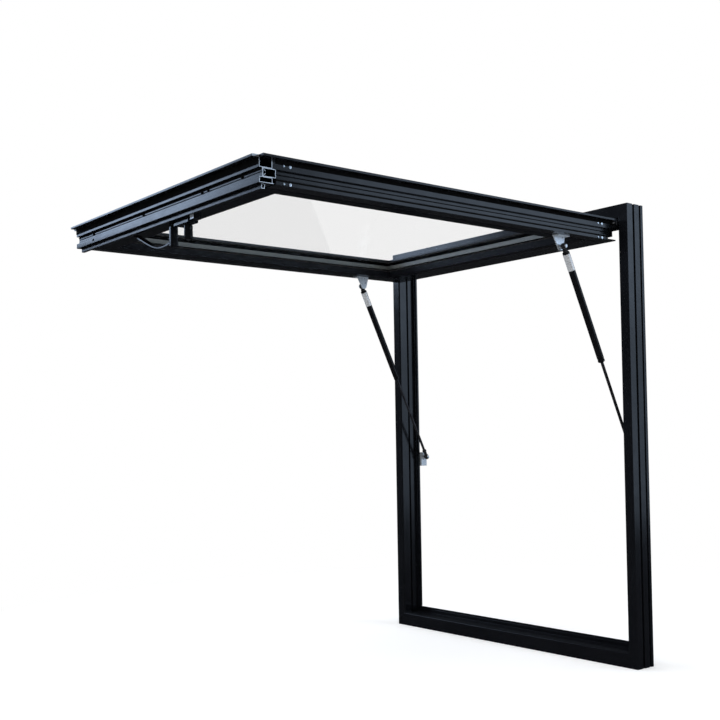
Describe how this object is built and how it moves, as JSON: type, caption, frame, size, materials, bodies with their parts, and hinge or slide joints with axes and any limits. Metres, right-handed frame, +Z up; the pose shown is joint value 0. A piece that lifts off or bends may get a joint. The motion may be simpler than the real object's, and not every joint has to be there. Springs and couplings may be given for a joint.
{
  "type": "top hung awning window",
  "caption": "Top hung awning window with a black aluminium frame, a double glazed sash held open on two gas struts, a hook hinge along the head, and a bow handle.",
  "frame": {"origin": "middle of the flat underside of the sill", "axes": "+Z up, +X along the frame's width to the right as seen from outdoors, +Y towards the room"},
  "size_m": [0.94, 1.208, 1.2],
  "materials": {
    "black_frame": "satin powder coat",
    "hinge_black": "satin",
    "clear_glass": "clear",
    "spacer": "satin",
    "seal_rubber": "matt",
    "zinc_steel": "zinc plated",
    "tube_black": "gloss",
    "rod_chrome": "polished",
    "end_plastic": "matt",
    "handle_black": "satin"
  },
  "bodies": {
    "frame": {"frame_head": "black_frame", "frame_sill": "black_frame", "left_jamb": "black_frame", "right_jamb": "black_frame", "head_hinge_rail": "hinge_black", "left_frame_bracket": "zinc_steel", "right_frame_bracket": "zinc_steel"},
    "sash": {"sash_top_rail": "black_frame", "sash_bottom_rail": "black_frame", "sash_left_stile": "black_frame", "sash_right_stile": "black_frame", "sash_hinge_rail": "hinge_black", "glass_outer_pane": "clear_glass", "glass_inner_pane": "clear_glass", "glass_spacer": "spacer", "outer_glazing_gasket": "seal_rubber", "inner_glazing_gasket": "seal_rubber", "top_glazing_bead": "black_frame", "bottom_glazing_bead": "black_frame", "left_glazing_bead": "black_frame", "right_glazing_bead": "black_frame", "left_sash_bracket": "zinc_steel", "right_sash_bracket": "zinc_steel", "handle_plate": "handle_black", "lock_barrel": "handle_black"},
    "left_tube": {"left_strut_tube": "tube_black", "left_strut_top_eye": "end_plastic"},
    "left_rod": {"left_strut_rod": "rod_chrome", "left_strut_rod_end": "end_plastic"},
    "right_tube": {"right_strut_tube": "tube_black", "right_strut_top_eye": "end_plastic"},
    "right_rod": {"right_strut_rod": "rod_chrome", "right_strut_rod_end": "end_plastic"},
    "handle": {"handle_lever": "handle_black"}
  },
  "joints": [
    {"name": "sash_hinge", "type": "hinge", "parent": "frame", "child": "sash", "pos_m": [0, -0.033, 1.149], "axis": [1, 0, 0], "range_deg": [0, 90]},
    {"name": "handle_turn", "type": "hinge", "parent": "sash", "child": "handle", "pos_m": [0.035, -1.102, 1.1], "axis": [0, 0, 1], "range_deg": [-90, 0]},
    {"name": "left_strut_turn", "type": "hinge", "parent": "sash", "child": "left_tube", "pos_m": [-0.41, -0.213, 1.077], "axis": [1, 0, 0], "range_deg": [-114.74, 0]},
    {"name": "left_strut_slide", "type": "slide", "parent": "left_tube", "child": "left_rod", "axis": [0, -0.4351, 0.9004], "range_m": [0, 0.16756]},
    {"name": "right_strut_turn", "type": "hinge", "parent": "sash", "child": "right_tube", "pos_m": [0.41, -0.213, 1.077], "axis": [1, 0, 0], "range_deg": [-114.74, 0]},
    {"name": "right_strut_slide", "type": "slide", "parent": "right_tube", "child": "right_rod", "axis": [0, -0.4351, 0.9004], "range_m": [0, 0.16756]}
  ],
  "couplings": [
    {"joint": "left_strut_turn", "follows": "sash_hinge", "ratio": -1.2747},
    {"joint": "left_strut_slide", "follows": "sash_hinge", "m_per_rad": 0.10661},
    {"joint": "right_strut_turn", "follows": "sash_hinge", "ratio": -1.2747},
    {"joint": "right_strut_slide", "follows": "sash_hinge", "m_per_rad": 0.10661}
  ]
}
